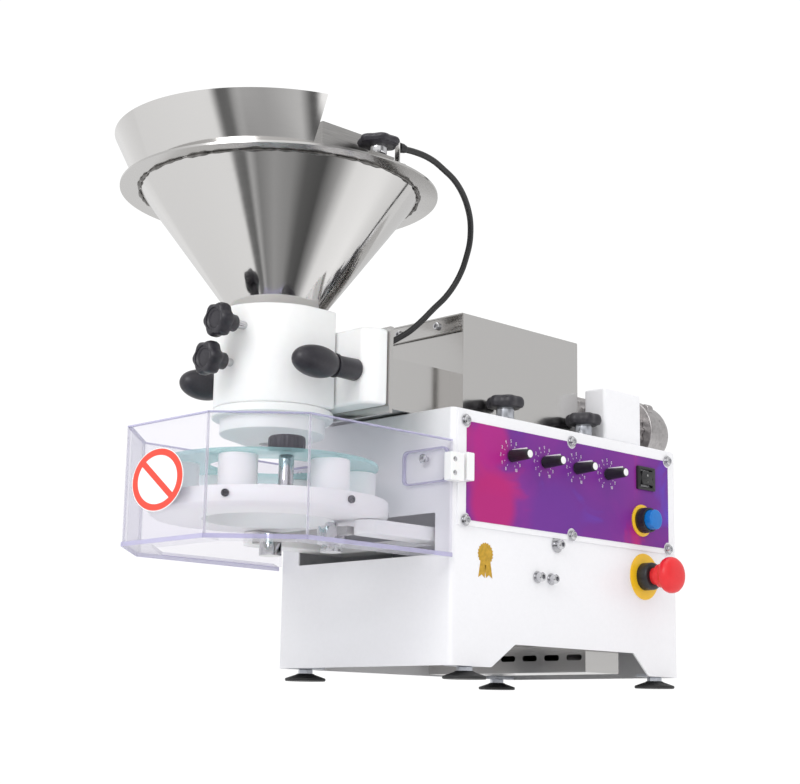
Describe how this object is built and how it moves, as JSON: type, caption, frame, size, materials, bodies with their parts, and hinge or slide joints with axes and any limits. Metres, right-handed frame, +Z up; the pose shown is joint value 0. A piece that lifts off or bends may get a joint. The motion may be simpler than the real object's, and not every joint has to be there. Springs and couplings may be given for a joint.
{
  "type": "filled-dough forming machine",
  "caption": "Tabletop food former: round hopper over an extruding head and a guarded rotating mould, beside a cabinet with dials and an emergency stop.",
  "frame": {"origin": "centre of the overall box, on the plane the feet stand on", "axes": "+X along the control panel away from the hopper, +Y from the control panel into the machine, +Z up"},
  "size_m": [0.7074, 0.3361, 0.513],
  "materials": {
    "white_paint": "white powder coat",
    "stainless": "bright stainless sheet",
    "polished": "polished steel",
    "black_plastic": "black thermoplastic",
    "rubber_black": "black rubber",
    "overlay": "printed polyester film",
    "blue_plastic": "blue button",
    "yellow_plastic": "yellow plate",
    "red_plastic": "red mushroom",
    "white_plastic": "white food-grade polymer",
    "glass": "toughened glass",
    "clear": "clear polycarbonate",
    "sign_red": "red film",
    "aluminium": "cast aluminium",
    "grey_paint": "grey paint",
    "board": "circuit board"
  },
  "bodies": {
    "machine": {"cabinet_front": "white_paint", "cabinet_side": "white_paint", "cabinet_wrap": "white_paint", "cabinet_top": "white_paint", "bottom_tray": "stainless", "feet": "rubber_black", "panel_plate": "white_paint", "panel_overlay": "overlay", "potentiometers": "grey_paint", "rocker_frame": "black_plastic", "button_bezel": "black_plastic", "stop_plate": "yellow_plastic", "stop_collar": "black_plastic", "fasteners": "polished", "electronics": "board", "mains_inlet": "black_plastic", "cover": "stainless", "bulkhead": "stainless", "neck": "stainless", "head_flange": "stainless", "head_block": "white_plastic", "nozzle": "white_plastic", "hopper": "stainless", "hopper_flange": "stainless", "collar": "stainless", "hopper_sensor": "black_plastic", "sensor_cable": "rubber_black", "gearmotors": "grey_paint", "arms": "white_paint", "guard_sensor": "white_plastic", "motor": "aluminium", "terminal_box": "white_paint"},
    "dial_dough": {"dial_dough": "black_plastic"},
    "dial_filling": {"dial_filling": "black_plastic"},
    "dial_mould": {"dial_mould": "black_plastic"},
    "dial_stop": {"dial_stop": "black_plastic"},
    "rocker": {"rocker": "black_plastic"},
    "start_button": {"button_cap": "blue_plastic"},
    "emergency_stop": {"stop_head": "red_plastic"},
    "cover_knob_left": {"cover_knob_left": "black_plastic"},
    "cover_knob_right": {"cover_knob_right": "black_plastic"},
    "clamp_near": {"clamp_near": "black_plastic"},
    "clamp_far": {"clamp_far": "black_plastic"},
    "star_upper": {"star_upper": "black_plastic"},
    "star_lower": {"star_lower": "black_plastic"},
    "hopper_bridge": {"bridge": "stainless"},
    "bridge_knob_near": {"bridge_knob_near": "black_plastic"},
    "bridge_knob_far": {"bridge_knob_far": "black_plastic"},
    "auger_dough": {"auger_dough": "stainless"},
    "auger_filling": {"auger_filling": "stainless"},
    "mould_drum": {"drum": "white_plastic", "sleeves": "white_plastic", "rim_screws": "black_plastic", "glass_disc": "glass", "glass_post": "polished"},
    "glass_knob": {"glass_knob": "black_plastic"},
    "drive_pinion": {"drive_pinion": "aluminium"},
    "guard": {"guard": "clear", "guard_sign": "sign_red", "guard_magnet": "white_plastic"}
  },
  "joints": [
    {"name": "dial_dough_turn", "type": "hinge", "parent": "machine", "child": "dial_dough", "pos_m": [0.01475, -0.122, 0.218], "axis": [0, 1, 0], "range_deg": [-150, 150]},
    {"name": "dial_filling_turn", "type": "hinge", "parent": "machine", "child": "dial_filling", "pos_m": [0.06525, -0.122, 0.218], "axis": [0, 1, 0], "range_deg": [-150, 150]},
    {"name": "dial_mould_turn", "type": "hinge", "parent": "machine", "child": "dial_mould", "pos_m": [0.11575, -0.122, 0.218], "axis": [0, 1, 0], "range_deg": [-150, 150]},
    {"name": "dial_stop_turn", "type": "hinge", "parent": "machine", "child": "dial_stop", "pos_m": [0.16625, -0.122, 0.218], "axis": [0, 1, 0], "range_deg": [-150, 150]},
    {"name": "rocker_tilt", "type": "hinge", "parent": "machine", "child": "rocker", "pos_m": [0.23125, -0.12, 0.221], "axis": [1, 0, 0], "range_deg": [-10, 10]},
    {"name": "button_press", "type": "slide", "parent": "machine", "child": "start_button", "axis": [0, 1, 0], "range_m": [0, 0.003], "stiffness_N_per_m": 300},
    {"name": "stop_press", "type": "slide", "parent": "machine", "child": "emergency_stop", "axis": [0, 1, 0], "range_m": [0, 0.004]},
    {"name": "cover_knob_left_turn", "type": "hinge", "parent": "machine", "child": "cover_knob_left", "pos_m": [0.03025, -0.102, 0.272], "axis": [0, 0, 1], "continuous": true},
    {"name": "cover_knob_right_turn", "type": "hinge", "parent": "machine", "child": "cover_knob_right", "pos_m": [0.15425, -0.102, 0.272], "axis": [0, 0, 1], "continuous": true},
    {"name": "clamp_near_turn", "type": "hinge", "parent": "machine", "child": "clamp_near", "pos_m": [-0.18675, -0.083, 0.282], "axis": [1, 0, 0], "continuous": true},
    {"name": "clamp_far_turn", "type": "hinge", "parent": "machine", "child": "clamp_far", "pos_m": [-0.18675, 0.083, 0.282], "axis": [1, 0, 0], "continuous": true},
    {"name": "star_upper_turn", "type": "hinge", "parent": "machine", "child": "star_upper", "pos_m": [-0.25675, -0.018, 0.32], "axis": [1, 0, 0], "continuous": true},
    {"name": "star_lower_turn", "type": "hinge", "parent": "machine", "child": "star_lower", "pos_m": [-0.25675, -0.004, 0.286], "axis": [1, 0, 0], "continuous": true},
    {"name": "bridge_lift", "type": "slide", "parent": "machine", "child": "hopper_bridge", "axis": [0, 0, 1], "range_m": [0, 0.08]},
    {"name": "bridge_knob_near_turn", "type": "hinge", "parent": "hopper_bridge", "child": "bridge_knob_near", "pos_m": [-0.19875, -0.149, 0.472], "axis": [0, 0, 1], "continuous": true},
    {"name": "bridge_knob_far_turn", "type": "hinge", "parent": "hopper_bridge", "child": "bridge_knob_far", "pos_m": [-0.19875, 0.149, 0.472], "axis": [0, 0, 1], "continuous": true},
    {"name": "auger_dough_turn", "type": "hinge", "parent": "machine", "child": "auger_dough", "pos_m": [-0.06675, -0.021, 0.296], "axis": [1, 0, 0], "continuous": true},
    {"name": "auger_filling_turn", "type": "hinge", "parent": "machine", "child": "auger_filling", "pos_m": [-0.06675, 0.021, 0.296], "axis": [1, 0, 0], "continuous": true},
    {"name": "mould_drum_turn", "type": "hinge", "parent": "machine", "child": "mould_drum", "pos_m": [-0.18975, 0, 0.152], "axis": [0, 0, 1], "continuous": true},
    {"name": "glass_knob_turn", "type": "hinge", "parent": "mould_drum", "child": "glass_knob", "pos_m": [-0.23075, -0.07101, 0.202], "axis": [0, 0, 1], "continuous": true},
    {"name": "drive_pinion_turn", "type": "hinge", "parent": "machine", "child": "drive_pinion", "pos_m": [-0.14875, -0.044, 0.127], "axis": [0, 0, 1], "continuous": true},
    {"name": "guard_lift", "type": "slide", "parent": "machine", "child": "guard", "axis": [0, 0, 1], "range_m": [0, 0.012]}
  ],
  "couplings": [
    {"joint": "auger_filling_turn", "follows": "auger_dough_turn", "ratio": -1},
    {"joint": "drive_pinion_turn", "follows": "mould_drum_turn", "ratio": -5}
  ]
}
